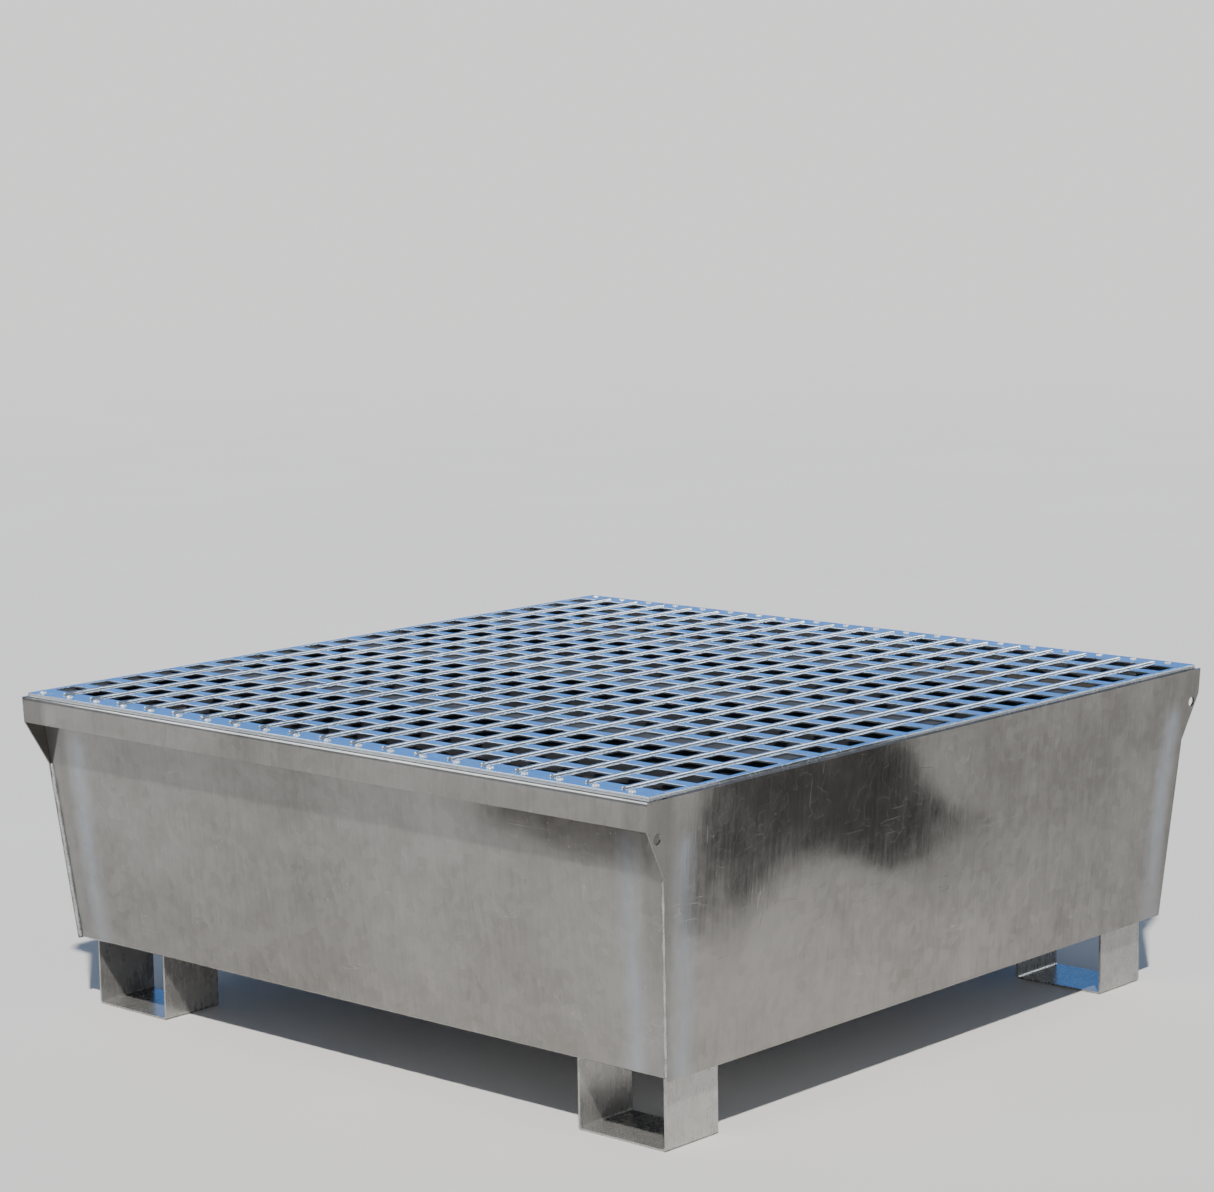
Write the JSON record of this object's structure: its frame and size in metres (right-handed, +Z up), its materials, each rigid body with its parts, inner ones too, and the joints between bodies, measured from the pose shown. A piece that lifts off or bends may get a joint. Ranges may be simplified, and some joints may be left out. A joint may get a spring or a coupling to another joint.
{
  "type": "spill containment pallet",
  "caption": "Low steel spill pallet for drums: a welded sloping-sided sump on folded feet, under a lift-off perforated deck with raised ribs.",
  "frame": {"origin": "on the ground, under the middle of the sump", "axes": "+X to the right along the front, +Y to the rear, +Z up"},
  "size_m": [1.22, 1.22, 0.4748],
  "materials": {
    "sump_sheet": "galvanised sheet, satin with soft reflections and faint mottling",
    "weld_bead": "galvanised weld bead, rough and bright",
    "foot_sheet": "galvanised sheet, bluish and slightly dull",
    "support_steel": "galvanised steel, dull",
    "deck_sheet": "galvanised perforated sheet, semi-bright",
    "deck_rib": "galvanised half-round rib, bright",
    "rivet": "zinc-plated rivet, bright",
    "deck_bar": "galvanised flat bar, satin"
  },
  "bodies": {
    "sump": {"sump_trough": "sump_sheet", "left_end_plate": "sump_sheet", "right_end_plate": "sump_sheet", "front_left_seam": "weld_bead", "front_right_seam": "weld_bead", "rear_left_seam": "weld_bead", "rear_right_seam": "weld_bead", "left_floor_seam": "weld_bead", "right_floor_seam": "weld_bead", "front_left_foot": "foot_sheet", "front_right_foot": "foot_sheet", "rear_left_foot": "foot_sheet", "rear_right_foot": "foot_sheet", "foot_welds": "weld_bead", "left_ledge": "support_steel", "right_ledge": "support_steel", "front_beam": "support_steel", "centre_beam": "support_steel", "rear_beam": "support_steel", "front_left_seat": "support_steel", "centre_left_seat": "support_steel", "rear_left_seat": "support_steel", "front_right_seat": "support_steel", "centre_right_seat": "support_steel", "rear_right_seat": "support_steel", "front_post": "support_steel", "centre_post": "support_steel", "rear_post": "support_steel", "post_pads": "support_steel"},
    "deck": {"deck_sheet": "deck_sheet", "deck_ribs": "deck_rib", "deck_rivets": "rivet", "deck_front_bar": "deck_bar", "deck_rear_bar": "deck_bar", "deck_left_bar": "deck_bar", "deck_right_bar": "deck_bar", "front_locating_strip": "deck_bar", "rear_locating_strip": "deck_bar"}
  },
  "joints": [
    {"name": "deck_lift", "type": "slide", "parent": "sump", "child": "deck", "axis": [0, 0, 1], "range_m": [0, 0.12]}
  ]
}
